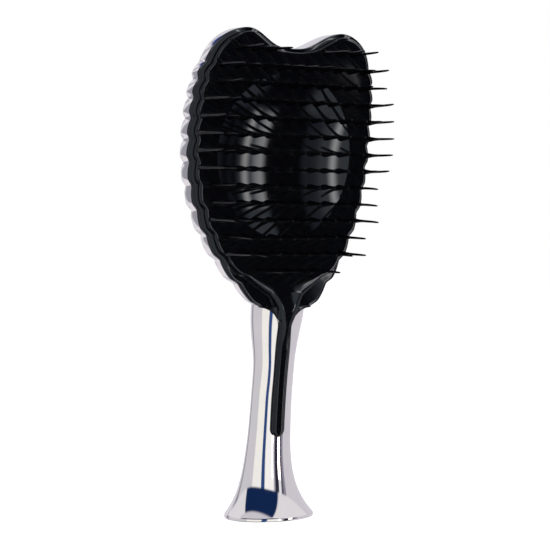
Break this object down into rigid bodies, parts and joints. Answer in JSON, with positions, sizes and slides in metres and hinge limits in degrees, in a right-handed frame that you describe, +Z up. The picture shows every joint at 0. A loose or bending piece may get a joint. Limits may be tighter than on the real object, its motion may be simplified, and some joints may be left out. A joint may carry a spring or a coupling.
{
  "type": "hair grooming brush",
  "caption": "Detangling hair brush with a winged scalloped head, long slender bristles on a black face, a mirror-finish back and a handle flaring to a foot that it stands on.",
  "frame": {"origin": "middle of the foot's underside, which the brush stands on", "axes": "+Z up along the handle to the head, the bristles point to -Y, +X across the head, to the right of someone who looks at the bristles"},
  "size_m": [0.0988, 0.0514, 0.2251],
  "materials": {
    "face_black": "high gloss",
    "bristle_black": "gloss",
    "mirror_plate": "mirror plated plastic",
    "cap_black": "fine matte"
  },
  "bodies": {
    "root": {"face_plate": "face_black", "bristles": "bristle_black", "back_shell": "mirror_plate", "foot_cap": "cap_black"}
  },
  "joints": []
}
